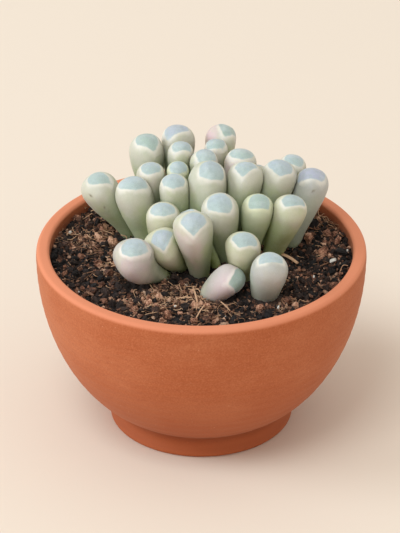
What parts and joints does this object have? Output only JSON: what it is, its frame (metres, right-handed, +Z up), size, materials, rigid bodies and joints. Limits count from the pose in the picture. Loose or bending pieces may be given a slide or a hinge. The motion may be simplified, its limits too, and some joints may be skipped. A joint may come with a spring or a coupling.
{
  "type": "potted baby toes",
  "caption": "Cluster of club-shaped succulent leaves with flat translucent window tips, standing in gritty soil in a footed terracotta bowl.",
  "frame": {"origin": "middle of the pot's foot, on the surface that the pot stands on", "axes": "+Z up along the pot's axis, -Y towards the front of the plant, +X to its right"},
  "size_m": [0.1, 0.1, 0.0827],
  "materials": {
    "terracotta": "matte",
    "potting_soil": "matte",
    "leaf_skin": "satin"
  },
  "bodies": {
    "root": {"pot": "terracotta", "soil": "potting_soil", "leaf_01": "leaf_skin", "leaf_02": "leaf_skin", "leaf_03": "leaf_skin", "leaf_04": "leaf_skin", "leaf_05": "leaf_skin", "leaf_06": "leaf_skin", "leaf_07": "leaf_skin", "leaf_08": "leaf_skin", "leaf_09": "leaf_skin", "leaf_10": "leaf_skin", "leaf_11": "leaf_skin", "leaf_12": "leaf_skin", "leaf_13": "leaf_skin", "leaf_14": "leaf_skin", "leaf_15": "leaf_skin", "leaf_16": "leaf_skin", "leaf_17": "leaf_skin", "leaf_18": "leaf_skin", "leaf_19": "leaf_skin", "leaf_20": "leaf_skin", "leaf_21": "leaf_skin", "leaf_22": "leaf_skin", "leaf_23": "leaf_skin", "leaf_24": "leaf_skin", "leaf_25": "leaf_skin", "leaf_26": "leaf_skin", "leaf_27": "leaf_skin", "leaf_28": "leaf_skin", "leaf_29": "leaf_skin", "leaf_30": "leaf_skin", "leaf_31": "leaf_skin", "leaf_32": "leaf_skin", "leaf_33": "leaf_skin"}
  },
  "joints": []
}
